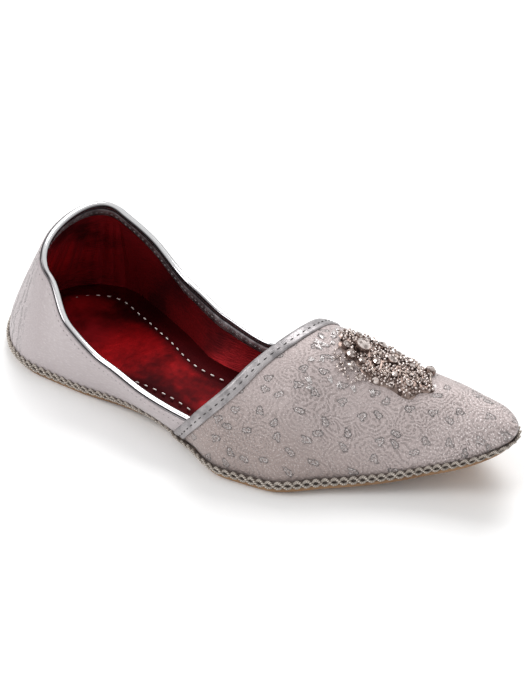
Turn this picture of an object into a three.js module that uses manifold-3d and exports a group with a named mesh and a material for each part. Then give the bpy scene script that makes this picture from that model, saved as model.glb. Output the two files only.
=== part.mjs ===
// A mojari: a slip-on shoe of brocade on a thin leather sole, for the right foot.
// The toe points along +X, the outer side of the foot is -Y, up is +Z, in millimetres.
// One form, the last, gives every curved piece: the upper's wall is cut between two sizes of it.

import * as THREE from 'three';
import { mergeVertices } from 'three/addons/utils/BufferGeometryUtils.js';
import Module from 'manifold-3d';

const wasm = await Module();
wasm.setup();

// Driving dimensions of the last, taken at the feather line where upper and sole meet.
const LENGTH = 250;
const BALL_WIDTH = 80;
const WAIST_WIDTH = 47;
const HEEL_WIDTH = 71;
const TOE_SWING = 15;
const HEEL_HEIGHT = 60;
const INSTEP_HEIGHT = 59;
const SIDE_HEIGHT = 24;
const TOE_HEIGHT = 11;

// How the last departs from upright sections: the share of the heel's lean that tips it inwards, how
// far the toe's nose stands forward of its feather line and how far that line is tucked back.
const HEEL_TILT = 0.32;
const TOE_NOSE = 2.4;
const TOE_TUCK = 2.2;
const TOE_NOSE_POWER = 12;

// Sole: leather thickness, how far the waist and the toe stand off the floor, its edge, and how far
// that edge lies inside the braid.
const OUTSOLE_THICKNESS = 2.5;
const ARCH_RISE = 2;
const TOE_SPRING = 24;
const SOLE_EDGE_ROUND = 0.6;
const SOLE_INSET = 2.2;
const INSOLE_THICKNESS = 2;

// Upper: the wall, the extra layer of the vamp, and the gap that touching pieces keep.
const WALL = 2;
const VAMP_LAYER = 1.3;
const CLEARANCE = 0.3;

// Collar binding: a rolled edge on a tape that covers both faces of the wall.
const ROLL_RADIUS = 1.6;
const ROLL_STEPS = 5;
const TAPE_DEPTH = 5;
const TAPE_THICKNESS = 0.8;

// Vamp binding: a leather strip along the edge of the vamp.
const STRIP_WIDTH = 5.5;
const STRIP_THICKNESS = 0.9;

// Edge braid: a zigzag cord round the feather line.
const BRAID_HEIGHT = 4.6;
const BRAID_DEPTH = 2.4;
const BRAID_PITCH = 4;
const BRAID_RIB = 0.7;

// Ornament on the vamp: its place ahead of the throat, its size, the scallops round it as a share of
// that size, and the rings of its stones.
const ORNAMENT_AT = 0.76 * LENGTH;
const ORNAMENT_SWING = 4;
const ORNAMENT_LENGTH = 46;
const ORNAMENT_WIDTH = 23;
const GROUND_THICKNESS = 0.9;
const PETALS = 8;
const SCALLOP = 0.07;
const BEAD_RADIUS = 1.6;
const STONES = [
  { ring: 0, count: 1, radius: 3.4 },
  { ring: 0.34, count: 6, radius: 2.2 },
  { ring: 0.60, count: 11, radius: 1.9 },
  { ring: 0.84, count: 18, radius: BEAD_RADIUS },
];

const WIDE = 0.5 * BALL_WIDTH;

// Sections from the middle of the heel to the toe. The wall rises from half the width, flares out by
// flare up to the height rise, leans in by lean over the heel's height, and closes over at the crown.
// A square of 2 makes the section an ellipse, more makes it boxier.
const SECTIONS = [
  { at: 0.14 * LENGTH, half: 0.500 * HEEL_WIDTH, swing: 0.25 * TOE_SWING, crown: 1.50 * HEEL_HEIGHT,
    flare: 0.06 * WIDE, rise: 0.27 * HEEL_HEIGHT, lean: 0.17 * HEEL_HEIGHT, square: 3.0 },
  { at: 0.22 * LENGTH, half: 0.460 * HEEL_WIDTH, swing: 0.07 * TOE_SWING, crown: 1.45 * HEEL_HEIGHT,
    flare: 0.08 * WIDE, rise: 0.37 * HEEL_HEIGHT, lean: 0, square: 3.0 },
  { at: 0.31 * LENGTH, half: 0.580 * WAIST_WIDTH, swing: -0.22 * TOE_SWING, crown: 1.40 * HEEL_HEIGHT,
    flare: 0.16 * WIDE, rise: 0.45 * HEEL_HEIGHT, lean: -0.02 * HEEL_HEIGHT, square: 3.0 },
  { at: 0.40 * LENGTH, half: 0.480 * WAIST_WIDTH, swing: -0.57 * TOE_SWING, crown: 1.20 * INSTEP_HEIGHT,
    flare: 0.25 * WIDE, rise: 0.40 * INSTEP_HEIGHT, lean: -0.03 * HEEL_HEIGHT, square: 2.8 },
  { at: 0.49 * LENGTH, half: 0.650 * WIDE, swing: -0.66 * TOE_SWING, crown: 1.00 * INSTEP_HEIGHT,
    flare: 0.16 * WIDE, rise: 0.33 * INSTEP_HEIGHT, lean: -0.02 * HEEL_HEIGHT, square: 2.4 },
  { at: 0.58 * LENGTH, half: 0.960 * WIDE, swing: -0.30 * TOE_SWING, crown: 0.90 * INSTEP_HEIGHT,
    flare: 0.05 * WIDE, rise: 0.24 * INSTEP_HEIGHT, lean: 0, square: 2.05 },
  { at: 0.66 * LENGTH, half: 0.975 * WIDE, swing: -0.05 * TOE_SWING, crown: 0.86 * INSTEP_HEIGHT,
    flare: 0.02 * WIDE, rise: 0.19 * INSTEP_HEIGHT, lean: 0, square: 2.0 },
  { at: 0.74 * LENGTH, half: 0.820 * WIDE, swing: 0.37 * TOE_SWING, crown: 0.715 * INSTEP_HEIGHT,
    flare: 0.02 * WIDE, rise: 0.17 * INSTEP_HEIGHT, lean: 0, square: 1.95 },
  { at: 0.82 * LENGTH, half: 0.645 * WIDE, swing: 0.75 * TOE_SWING, crown: 0.58 * INSTEP_HEIGHT,
    flare: 0.02 * WIDE, rise: 0.14 * INSTEP_HEIGHT, lean: 0, square: 2.0 },
  { at: 0.90 * LENGTH, half: 0.440 * WIDE, swing: 1.02 * TOE_SWING, crown: 0.445 * INSTEP_HEIGHT,
    flare: 0.02 * WIDE, rise: 0.12 * INSTEP_HEIGHT, lean: 0, square: 2.1 },
  { at: 0.96 * LENGTH, half: 0.295 * WIDE, swing: 1.05 * TOE_SWING, crown: 0.315 * INSTEP_HEIGHT,
    flare: 0.02 * WIDE, rise: 0.10 * INSTEP_HEIGHT, lean: 0, square: 2.2 },
  { at: 1.00 * LENGTH, half: 0, swing: 1.00 * TOE_SWING, crown: TOE_HEIGHT,
    flare: 0, rise: 0.10 * INSTEP_HEIGHT, lean: 0, square: 2.4 },
];
const HEEL_CENTRE = SECTIONS[0].at;
const HEEL_BACK_LEAN = 0.43 * HEEL_HEIGHT;
const LEAN_POWER = 1.15;
const LEAN_LIMIT = 1.08;

// Side view of the collar: the topline falls from the heel to the sides, where the vamp covers it.
const TOPLINE = [
  { at: -0.04 * LENGTH, height: 1.00 * HEEL_HEIGHT },
  { at: 0.07 * LENGTH, height: 0.98 * HEEL_HEIGHT },
  { at: 0.13 * LENGTH, height: 0.82 * HEEL_HEIGHT },
  { at: 0.21 * LENGTH, height: 0.59 * HEEL_HEIGHT },
  { at: 0.30 * LENGTH, height: 0.98 * SIDE_HEIGHT },
  { at: 0.40 * LENGTH, height: 0.82 * SIDE_HEIGHT },
  { at: 0.55 * LENGTH, height: 0.72 * SIDE_HEIGHT },
];

// Side view of the vamp's back edge, from the feather line up and over the instep. The edge runs
// forward towards the inner side by its skew, a share of the distance across.
const THROAT_SKEW = 0.20;
const THROAT = [
  { height: -0.20 * INSTEP_HEIGHT, at: 0.458 * LENGTH },
  { height: 0.00 * INSTEP_HEIGHT, at: 0.477 * LENGTH },
  { height: 0.41 * INSTEP_HEIGHT, at: 0.549 * LENGTH },
  { height: 0.68 * INSTEP_HEIGHT, at: 0.593 * LENGTH },
  { height: 0.80 * INSTEP_HEIGHT, at: 0.605 * LENGTH },
  { height: 0.88 * INSTEP_HEIGHT, at: 0.617 * LENGTH },
  { height: 1.30 * INSTEP_HEIGHT, at: 0.700 * LENGTH },
];

// Underside of the outsole over the floor: flat under the heel and under the ball.
const FLOOR_LINE = [
  { at: -0.05 * LENGTH, lift: 0 },
  { at: 0.22 * LENGTH, lift: 0 },
  { at: 0.36 * LENGTH, lift: ARCH_RISE },
  { at: 0.50 * LENGTH, lift: 0 },
  { at: 0.64 * LENGTH, lift: 0 },
  { at: 0.72 * LENGTH, lift: 0.06 * TOE_SPRING },
  { at: 0.80 * LENGTH, lift: 0.16 * TOE_SPRING },
  { at: 0.90 * LENGTH, lift: 0.44 * TOE_SPRING },
  { at: 1.00 * LENGTH, lift: TOE_SPRING },
  { at: 1.04 * LENGTH, lift: 1.30 * TOE_SPRING },
];

// A smooth curve through one column of a table. It starts level and never overshoots its rows.
function through(rows, along, column) {
  const x = rows.map((row) => row[along]);
  const y = rows.map((row) => row[column]);
  const slope = x.slice(1).map((right, i) => (y[i + 1] - y[i]) / (right - x[i]));
  const tangent = y.map((value, i) => {
    if (i === 0) return 0;
    if (i === y.length - 1) return slope[i - 1];
    if (slope[i - 1] * slope[i] <= 0) return 0;
    return 2 * slope[i - 1] * slope[i] / (slope[i - 1] + slope[i]);
  });
  return (at) => {
    let i = x.findIndex((right) => right > at) - 1;
    if (i < 0) i = at < x[0] ? 0 : x.length - 2;
    const span = x[i + 1] - x[i];
    const t = THREE.MathUtils.clamp((at - x[i]) / span, 0, 1);
    const rise = (3 * y[i + 1] - 3 * y[i] - span * (2 * tangent[i] + tangent[i + 1])) * t * t;
    const turn = (2 * y[i] - 2 * y[i + 1] + span * (tangent[i] + tangent[i + 1])) * t ** 3;
    return y[i] + span * tangent[i] * t + rise + turn;
  };
}

// The square of the half width runs straight to zero at the toe, so the toe's outline is round.
const halfSquared = through(SECTIONS.map((row) => ({ at: row.at, area: row.half ** 2 })), 'at', 'area');
const swingAt = through(SECTIONS, 'at', 'swing');
const crownAt = through(SECTIONS, 'at', 'crown');
const flareAt = through(SECTIONS, 'at', 'flare');
const riseAt = through(SECTIONS, 'at', 'rise');
const leanAt = through(SECTIONS, 'at', 'lean');
const squareAt = through(SECTIONS, 'at', 'square');
const toplineAt = through(TOPLINE, 'at', 'height');
const throatAt = through(THROAT, 'height', 'at');
const floorAt = through(FLOOR_LINE, 'at', 'lift');
const featherAt = (x) => floorAt(x) + OUTSOLE_THICKNESS + CLEARANCE;

// Where a section stands: the sections crowd together towards the toe tip, at an along of 2.
function middleAt(along) {
  const ahead = Math.max(along - 1, 0);
  return HEEL_CENTRE + (LENGTH - HEEL_CENTRE) * (1 - (1 - ahead) ** 2 * (1 + ahead));
}

// A point on the last. Along runs from 0 at the back of the heel, round the heel in a fan, to 1 at
// the heel's middle, then to 2 at the toe tip. Side is -1 for the outer wall, 1 for the inner one.
function skin(along, side, height) {
  const fan = Math.min(along, 1) * Math.PI / 2;
  const middle = middleAt(along);
  const share = THREE.MathUtils.clamp(height / crownAt(middle), 0, 1);
  const square = squareAt(middle);
  const closing = (1 - share ** square) ** (1 / square);
  const flare = flareAt(middle) * (1 - Math.max(1 - height / riseAt(middle), 0) ** 2);
  const leaning = THREE.MathUtils.clamp(height / HEEL_HEIGHT, 0, LEAN_LIMIT) ** LEAN_POWER;
  const back = HEEL_CENTRE + flare - HEEL_BACK_LEAN * leaning;
  const half = Math.sqrt(Math.max(halfSquared(middle), 0)) + flare - leanAt(middle) * leaning;
  const tilt = HEEL_TILT * leanAt(middle) * leaning;
  const under = Math.max(1 - height / TOE_HEIGHT, 0) ** 2;
  const nose = (TOE_NOSE - (TOE_NOSE + TOE_TUCK) * under) * (middle / LENGTH) ** TOE_NOSE_POWER;
  return new THREE.Vector3(
    middle - Math.cos(fan) * back * closing + nose,
    swingAt(middle) + tilt + side * Math.sin(fan) * half * closing,
    height,
  );
}

// The last's point moved out along its own normal, level near the feather line, over the floor.
function lastPoint(along, side, height, offset) {
  const step = 1e-3;
  const point = skin(along, side, height);
  const share = height / crownAt(middleAt(along));
  const [next, last] = [Math.min(along + step, 2), Math.max(along - step, 0)];
  const ahead = skin(next, side, share * crownAt(middleAt(next)));
  const behind = skin(last, side, share * crownAt(middleAt(last)));
  const above = skin(along, side, height + step);
  const below = skin(along, side, Math.max(height - step, 0));
  const normal = ahead.sub(behind).cross(above.sub(below)).multiplyScalar(-side);
  if (along <= 0) normal.set(-1, 0, 0.2);
  if (along >= 2) normal.set(1, 0, 0);
  if (normal.length() < 1e-9) normal.set(0, 0, 1);
  normal.normalize();
  normal.z *= Math.min(1, Math.max(height, 0) / SIDE_HEIGHT);
  point.addScaledVector(normal.normalize(), offset);
  point.z += featherAt(skin(along, side, 0).x);
  return point;
}

// Turns rings of points into one closed body. Points that coincide are joined.
function bodyOf(rings, closed) {
  const points = rings.flat();
  const size = rings[0].length;
  const index = [];
  const last = closed ? rings.length : rings.length - 1;
  for (let i = 0; i < last; i += 1) {
    for (let k = 0; k < size; k += 1) {
      const next = ((i + 1) % rings.length) * size;
      const [a, b] = [i * size + k, i * size + (k + 1) % size];
      const [c, d] = [next + k, next + (k + 1) % size];
      index.push(a, b, d, a, d, c);
    }
  }
  const geometry = new THREE.BufferGeometry().setFromPoints(points);
  geometry.setIndex(index);
  return solidOf(geometry);
}

// Makes a solid of a closed geometry, with its faces turned outwards.
function solidOf(geometry) {
  const bare = geometry.index ? geometry.clone() : mergeVertices(geometry.clone());
  bare.deleteAttribute('normal');
  bare.deleteAttribute('uv');
  const merged = mergeVertices(bare, 1e-4);
  const place = merged.getAttribute('position');
  const faces = [];
  let volume = 0;
  const [p, q, r] = [new THREE.Vector3(), new THREE.Vector3(), new THREE.Vector3()];
  for (let i = 0; i < merged.index.count; i += 3) {
    const corner = [0, 1, 2].map((k) => merged.index.getX(i + k));
    if (new Set(corner).size < 3) continue;
    faces.push(corner);
    p.fromBufferAttribute(place, corner[0]);
    q.fromBufferAttribute(place, corner[1]);
    r.fromBufferAttribute(place, corner[2]);
    volume += p.dot(q.cross(r));
  }
  const outward = volume > 0 ? faces : faces.map(([a, b, c]) => [a, c, b]);
  return new wasm.Manifold(new wasm.Mesh({
    numProp: 3,
    vertProperties: new Float32Array(place.array),
    triVerts: new Uint32Array(outward.flat()),
  }));
}

const range = (count) => Array.from({ length: count }, (unused, i) => i);

const FAN_STEPS = 8;
const BODY_STEPS = 24;
const WALL_STEPS = 13;
const STATIONS = [
  ...range(FAN_STEPS).map((i) => i / FAN_STEPS),
  ...range(BODY_STEPS + 1).map((i) => 1 + i / BODY_STEPS),
];

// The closed last, grown or shrunk by an offset. Its underside lies at the feather line, or deeper.
function form(offset, deeper = 0) {
  const rings = STATIONS.map((along) => {
    const middle = middleAt(along);
    const wall = (side) => range(WALL_STEPS + 1).map((k) => {
      const up = k / WALL_STEPS;
      const share = up * (1 - up) + up * Math.sin(Math.PI / 2 * up) ** (2 / squareAt(middle));
      return lastPoint(along, side, crownAt(middle) * share, offset);
    });
    const foot = (side) => {
      const point = lastPoint(along, side, 0, offset);
      point.z -= deeper;
      return point;
    };
    const outer = wall(-1);
    const inner = wall(1).reverse();
    return [foot(-1), ...outer, ...inner.slice(1), foot(1)];
  });
  return bodyOf(rings, false);
}

// A plate with the outline of the feather line, grown by an offset, from one level to another.
function plate(outline, levels) {
  const rings = STATIONS.map((along) => {
    const edge = (side) => levels.map(([up, inset]) => {
      const point = lastPoint(along, side, 0, outline(along, side) - inset);
      point.z += up;
      return point;
    });
    return [...edge(-1), ...edge(1).reverse()];
  });
  return bodyOf(rings, false);
}

// A block as wide as the shoe whose side view is the outline given in X and Z. Skew shears it
// forward towards the inner side.
function block(outline, skew = 0) {
  const depth = 3 * BALL_WIDTH;
  const shape = new THREE.Shape(outline.map(([x, z]) => new THREE.Vector2(x, z)));
  const geometry = new THREE.ExtrudeGeometry(shape, { depth, bevelEnabled: false });
  geometry.rotateX(Math.PI / 2);
  geometry.translate(0, depth / 2, 0);
  geometry.applyMatrix4(new THREE.Matrix4().makeShear(0, 0, skew, 0, 0, 0));
  return solidOf(geometry);
}

// Heights over the floor of the two lines that bound the upper in side view.
const CUT_STEPS = 14;
const AWAY = LENGTH;
const junction = THROAT[2];
const throatLine = range(CUT_STEPS + 1).map((i) => {
  const height = THREE.MathUtils.lerp(THROAT[0].height, THROAT.at(-1).height, i / CUT_STEPS);
  const at = throatAt(height);
  return [at, height + featherAt(at)];
});
const collarLine = range(CUT_STEPS + 1).map((i) => {
  const at = THREE.MathUtils.lerp(TOPLINE[0].at, junction.at + 2 * STRIP_WIDTH, i / CUT_STEPS);
  return [at, toplineAt(at) + featherAt(at)];
});
const underCollar = (raised) => block([
  [-AWAY, -AWAY],
  [-AWAY, collarLine[0][1] + raised],
  ...collarLine.map(([x, z]) => [x, z + raised]),
  [collarLine.at(-1)[0], -AWAY],
]);
const throatMoved = (by) => throatLine.map(([x, z]) => [x + by, z]);
const underVamp = (moved) => {
  const edge = throatMoved(moved);
  const above = [edge.at(-1)[0], AWAY];
  return block([[edge[0][0], -AWAY], ...edge, above, [2 * AWAY, AWAY], [2 * AWAY, -AWAY]], THROAT_SKEW);
};

// Upper: quarters and vamp in one hollow wall. The vamp lies over the quarters as a raised layer.
function makeUpper() {
  const quarters = form(0).intersect(underCollar(0));
  const vamp = form(VAMP_LAYER).intersect(underVamp(0));
  return quarters.add(vamp).subtract(form(-WALL, OUTSOLE_THICKNESS));
}

// How far the braid's inner face stands off the last: the vamp's layer pushes it out.
function coverAt(along) {
  const x = skin(along, 1, 0).x;
  const start = throatAt(0) - 2 * BRAID_PITCH;
  return CLEARANCE + VAMP_LAYER * THREE.MathUtils.smoothstep(x, start, start + BRAID_PITCH);
}

// Outsole: one layer of leather with a softened edge, flat where it meets the floor.
function makeOutsole() {
  const top = -CLEARANCE;
  const bottom = top - OUTSOLE_THICKNESS;
  const outline = (along) => coverAt(along) + BRAID_DEPTH - SOLE_INSET;
  return plate(outline, [
    [bottom, 2 * SOLE_EDGE_ROUND],
    [bottom + SOLE_EDGE_ROUND / 2, SOLE_EDGE_ROUND / 2],
    [bottom + 2 * SOLE_EDGE_ROUND, 0],
    [top - SOLE_EDGE_ROUND / 2, 0],
    [top, SOLE_EDGE_ROUND / 2],
  ]);
}

// Insole: a plate whose edge leans with the wall that it lies against.
function makeInsole() {
  const rings = STATIONS.map((along) => {
    const edge = (side) => [0, INSOLE_THICKNESS].map((height) => (
      lastPoint(along, side, height, -WALL - 2 * CLEARANCE)
    ));
    return [...edge(-1), ...edge(1).reverse()];
  });
  return bodyOf(rings, false);
}

// Fine steps for measuring along a line, and rounds of halving or settling towards a place on it.
const LINE_STEPS = 200;
const HALVINGS = 40;
const SETTLINGS = 6;

// Places along one closed line: out along one side of the shoe and back along the other.
function roundTheShoe(count) {
  const sides = range(2 * LINE_STEPS + 1).map((i) => ({ along: i / LINE_STEPS, side: -1 }));
  const loop = [...sides, ...sides.map(({ along }) => ({ along, side: 1 })).reverse().slice(1)];
  const lengths = [0];
  for (let i = 1; i < loop.length; i += 1) {
    const here = skin(loop[i].along, loop[i].side, 0);
    const there = skin(loop[i - 1].along, loop[i - 1].side, 0);
    lengths.push(lengths[i - 1] + here.distanceTo(there));
  }
  const steps = count(lengths.at(-1));
  return range(steps).map((i) => {
    const wanted = lengths.at(-1) * (i + 0.5) / steps;
    const after = lengths.findIndex((length) => length >= wanted);
    const share = (wanted - lengths[after - 1]) / (lengths[after] - lengths[after - 1]);
    const along = THREE.MathUtils.lerp(loop[after - 1].along, loop[after].along, share);
    return { along, side: loop[after].side };
  });
}

// Edge braid: a ring whose outer face and top edge zigzag from one rib to the next. Its inner face is
// cut by the quarters and the vamp, both grown by the clearance.
function makeBraid() {
  const places = roundTheShoe((around) => 2 * Math.round(around / BRAID_PITCH));
  const ring = bodyOf(places.map(({ along, side }, i) => {
    const rib = i % 2 ? 0 : BRAID_RIB;
    const outer = coverAt(along) + BRAID_DEPTH;
    return [
      [0, 0],
      [BRAID_HEIGHT - rib, 0],
      [BRAID_HEIGHT - rib, outer - BRAID_RIB - rib],
      [0, outer - BRAID_RIB + rib],
    ].map(([height, offset]) => lastPoint(along, side, height, offset));
  }), true);
  const vamp = form(VAMP_LAYER + CLEARANCE, OUTSOLE_THICKNESS).intersect(underVamp(-CLEARANCE));
  return ring.subtract(form(CLEARANCE, OUTSOLE_THICKNESS)).subtract(vamp);
}

// The height of the topline at one place of the wall, where the wall itself leans.
function collarHeight(along, side) {
  return range(SETTLINGS).reduce((height) => toplineAt(skin(along, side, height).x), HEEL_HEIGHT);
}

// The place along the last where the vamp's edge crosses a height.
function throatAlong(height, side) {
  let [low, high] = [1, 2];
  for (let i = 0; i < HALVINGS; i += 1) {
    const middle = (low + high) / 2;
    const place = skin(middle, side, height);
    if (place.x - THROAT_SKEW * place.y < throatAt(height)) low = middle;
    else high = middle;
  }
  return low;
}

// Collar binding: a rolled edge over the topline, with a tape down both faces of the wall. The bar
// is cut by the quarters' wall, grown by the clearance.
function makeCollarBinding() {
  const end = throatAlong(SIDE_HEIGHT, 1);
  const reached = [...STATIONS.filter((along) => along < end - 0.01), end];
  const outer = reached.map((along) => ({ along, side: -1 })).reverse();
  const inner = reached.slice(1).map((along) => ({ along, side: 1 }));
  const middle = -WALL / 2;
  const half = WALL / 2 + CLEARANCE + TAPE_THICKNESS;
  const roll = range(ROLL_STEPS + 1).map((k) => {
    const turn = Math.PI * k / ROLL_STEPS;
    return [CLEARANCE + ROLL_RADIUS * Math.sin(turn), middle + half * Math.cos(turn)];
  });
  const section = [[-TAPE_DEPTH, middle + half], ...roll, [-TAPE_DEPTH, middle - half]];
  const bar = ribbonOf([...outer, ...inner].map(({ along, side }) => {
    const top = collarHeight(along, side);
    return section.map(([up, offset]) => lastPoint(along, side, top + up, offset));
  }));
  const wall = form(CLEARANCE).subtract(form(-WALL - CLEARANCE, OUTSOLE_THICKNESS));
  const quarters = wall.intersect(underCollar(CLEARANCE));
  return bar.subtract(quarters).subtract(underVamp(-STRIP_THICKNESS - 2 * CLEARANCE));
}

// A bar whose ends are closed by a flat cap.
function ribbonOf(rings) {
  const capped = [rings[0], ...rings, rings.at(-1)];
  const centre = (ring) => ring.reduce((sum, point) => sum.add(point), new THREE.Vector3())
    .divideScalar(ring.length);
  capped[0] = rings[0].map(() => centre(rings[0]));
  capped[capped.length - 1] = rings.at(-1).map(() => centre(rings.at(-1)));
  return bodyOf(capped, false);
}

// Vamp binding: a strip on the vamp along its back edge, with a lip over that edge.
function makeVampBinding() {
  const under = VAMP_LAYER + CLEARANCE;
  const over = under + STRIP_THICKNESS;
  const behind = throatMoved(-CLEARANCE - STRIP_THICKNESS);
  const between = (back, front) => block([...back, ...[...front].reverse()], THROAT_SKEW);
  const bottom = featherAt(junction.at) + BRAID_HEIGHT + 2 * CLEARANCE;
  const aboveBraid = block([[0, bottom], [0, AWAY], [AWAY, AWAY], [AWAY, bottom]]);
  const grown = form(over);
  const strip = grown.subtract(form(under)).intersect(between(behind, throatMoved(STRIP_WIDTH)));
  const lip = grown.subtract(form(CLEARANCE)).intersect(between(behind, throatMoved(-CLEARANCE)));
  return strip.add(lip).intersect(aboveBraid);
}

// The place along the last whose section stands at x.
function alongAt(x) {
  let [low, high] = [1, 2];
  for (let i = 0; i < HALVINGS; i += 1) {
    const middle = (low + high) / 2;
    if (middleAt(middle) < x) low = middle;
    else high = middle;
  }
  return low;
}

// The point of the vamp that lies over the place x, y in plan.
function vampPoint(x, y, offset) {
  const along = alongAt(x);
  const across = y - swingAt(x);
  const side = Math.sign(across) || 1;
  let [low, high] = [0, crownAt(x)];
  for (let i = 0; i < HALVINGS; i += 1) {
    const middle = (low + high) / 2;
    if (Math.abs(skin(along, side, middle).y - swingAt(x)) > Math.abs(across)) low = middle;
    else high = middle;
  }
  return lastPoint(along, side, low, offset);
}

// Ornament: a stiff ground sewn to the vamp, heaped with stones and beads in rings.
function makeOrnament() {
  const under = VAMP_LAYER + CLEARANCE;
  const centre = swingAt(ORNAMENT_AT) + ORNAMENT_SWING;
  const edge = range(4 * PETALS).map((i) => {
    const turn = Math.PI / 2 * i / PETALS;
    const scallop = 1 + SCALLOP * Math.cos(PETALS * turn);
    return new THREE.Vector2(
      ORNAMENT_AT + ORNAMENT_LENGTH / 2 * scallop * Math.cos(turn),
      -(centre + ORNAMENT_WIDTH / 2 * scallop * Math.sin(turn)),
    );
  });
  const outline = new THREE.ExtrudeGeometry(new THREE.Shape(edge), { depth: AWAY, bevelEnabled: false });
  outline.rotateX(Math.PI);
  outline.translate(0, 0, AWAY + INSTEP_HEIGHT / 4);
  const ground = form(under + GROUND_THICKNESS).intersect(solidOf(outline));
  const heap = STONES.reduce((pile, { ring, count, radius }) => range(count).reduce((sum, i) => {
    const turn = 2 * Math.PI * (i + ring) / count;
    const at = ORNAMENT_AT + ring * ORNAMENT_LENGTH / 2 * Math.cos(turn);
    const across = centre + ring * ORNAMENT_WIDTH / 2 * Math.sin(turn);
    const place = vampPoint(at, across, under + GROUND_THICKNESS / 2);
    const bead = new THREE.IcosahedronGeometry(radius, ring ? 0 : 1);
    bead.translate(place.x, place.y, place.z);
    return sum.add(solidOf(bead));
  }, pile), ground);
  return heap.subtract(form(under));
}

function meshOf(name, solid, finish) {
  const { vertProperties, triVerts } = solid.getMesh();
  const geometry = new THREE.BufferGeometry();
  geometry.setAttribute('position', new THREE.BufferAttribute(new Float32Array(vertProperties), 3));
  geometry.setIndex(Array.from(triVerts));
  geometry.computeVertexNormals();
  const mesh = new THREE.Mesh(geometry, new THREE.MeshStandardMaterial(finish));
  mesh.name = name;
  return mesh;
}

const brocade = { color: 0xb0a4a2, roughness: 0.5, metalness: 0.2 };
const leather = { color: 0xa87c54, roughness: 0.6, metalness: 0 };
const lining = { color: 0x6a1016, roughness: 0.5, metalness: 0 };
const silverLeather = { color: 0xb9b9bd, roughness: 0.25, metalness: 0.7 };
const silverCord = { color: 0x8d857f, roughness: 0.55, metalness: 0.4 };
const stones = { color: 0xc2b4a8, roughness: 0.2, metalness: 0.6 };

const shoe = new THREE.Group();
shoe.add(
  meshOf('outsole', makeOutsole(), leather),
  meshOf('insole', makeInsole(), lining),
  meshOf('upper', makeUpper(), brocade),
  meshOf('collar_binding', makeCollarBinding(), silverLeather),
  meshOf('vamp_binding', makeVampBinding(), silverLeather),
  meshOf('edge_braid', makeBraid(), silverCord),
  meshOf('ornament', makeOrnament(), stones),
);

// The origin is the middle of the footprint, on the floor.
const box = new THREE.Box3().setFromObject(shoe);
const middle = box.getCenter(new THREE.Vector3());
shoe.position.set(-middle.x, -middle.y, -box.min.z);

export default shoe;
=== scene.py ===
# A mojari for the right foot: silver brocade over a thin leather sole, beadwork on the vamp.
# The toe points along +X, the outer side of the foot is -Y, up is +Z, in metres.
import math
import random

import bmesh
import bpy
import numpy as np
from mathutils import Matrix, Vector


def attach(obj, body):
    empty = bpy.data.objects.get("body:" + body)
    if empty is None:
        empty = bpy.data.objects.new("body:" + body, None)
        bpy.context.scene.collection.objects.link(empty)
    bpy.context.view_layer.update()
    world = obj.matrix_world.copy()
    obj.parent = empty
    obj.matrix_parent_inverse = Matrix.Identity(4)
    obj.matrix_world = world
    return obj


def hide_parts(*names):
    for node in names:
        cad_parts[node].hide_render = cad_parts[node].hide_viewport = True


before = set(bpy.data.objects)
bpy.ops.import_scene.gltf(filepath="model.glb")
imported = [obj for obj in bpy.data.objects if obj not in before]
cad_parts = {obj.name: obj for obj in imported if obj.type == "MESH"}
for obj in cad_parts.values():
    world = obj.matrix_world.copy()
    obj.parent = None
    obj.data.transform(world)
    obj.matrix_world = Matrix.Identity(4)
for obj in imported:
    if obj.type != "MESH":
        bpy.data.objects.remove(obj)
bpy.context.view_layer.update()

# The view. A long lens stands off the outer side of the toe, raised well above the shoe and rolled
# by two degrees, as the shoe was photographed.
VIEW_AZIMUTH = math.radians(36.0)
VIEW_ELEVATION = math.radians(38.3)
VIEW_ROLL = math.radians(-2.1)
VIEW_DISTANCE = 1.26
VIEW_TARGET = Vector((0.00895, 0.00224, 0.0366))
VIEW_SENSOR = 24
VIEW_LENS = 99.9
away = Vector((
    math.sin(VIEW_AZIMUTH) * math.cos(VIEW_ELEVATION),
    -math.cos(VIEW_AZIMUTH) * math.cos(VIEW_ELEVATION),
    math.sin(VIEW_ELEVATION),
))
level = Vector((0, 0, 1)).cross(away).normalized()
upright = away.cross(level)
right = level * math.cos(VIEW_ROLL) + upright * math.sin(VIEW_ROLL)
upward = upright * math.cos(VIEW_ROLL) - level * math.sin(VIEW_ROLL)
camera = bpy.data.objects.new("camera", bpy.data.cameras.new("camera"))
camera.data.sensor_width = VIEW_SENSOR
camera.data.lens = VIEW_LENS
camera.location = VIEW_TARGET + VIEW_DISTANCE * away
camera.rotation_euler = Matrix((right, upward, away)).transposed().to_euler()
bpy.context.scene.collection.objects.link(camera)
bpy.context.scene.camera = camera

# The studio: a white floor under a bright even sky, with a large soft lamp beyond the inner side that
# draws the highlights on the toe, and a weaker one off the outer side of the heel.
SKY_COLOUR = (1, 1, 1, 1)
SKY_STRENGTH = 0.66
FLOOR_HALF_WIDTH = 4.0
bpy.context.scene.view_settings.view_transform = "Standard"
world = bpy.data.worlds.new("studio")
world.use_nodes = True
world.node_tree.nodes["Background"].inputs["Color"].default_value = SKY_COLOUR
world.node_tree.nodes["Background"].inputs["Strength"].default_value = SKY_STRENGTH
bpy.context.scene.world = world
LAMPS = [
    ("back_lamp", (-0.25, 0.75, 0.95), 0.8, 10.0),
    ("front_lamp", (-0.55, -0.75, 1.10), 0.6, 7.0),
]
for name, place, size, power in LAMPS:
    light = bpy.data.lights.new(name, "AREA")
    light.size = size
    light.energy = power
    holder = bpy.data.objects.new(name, light)
    holder.location = place
    holder.rotation_euler = (-Vector(place)).to_track_quat("-Z", "Y").to_euler()
    bpy.context.scene.collection.objects.link(holder)


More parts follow.
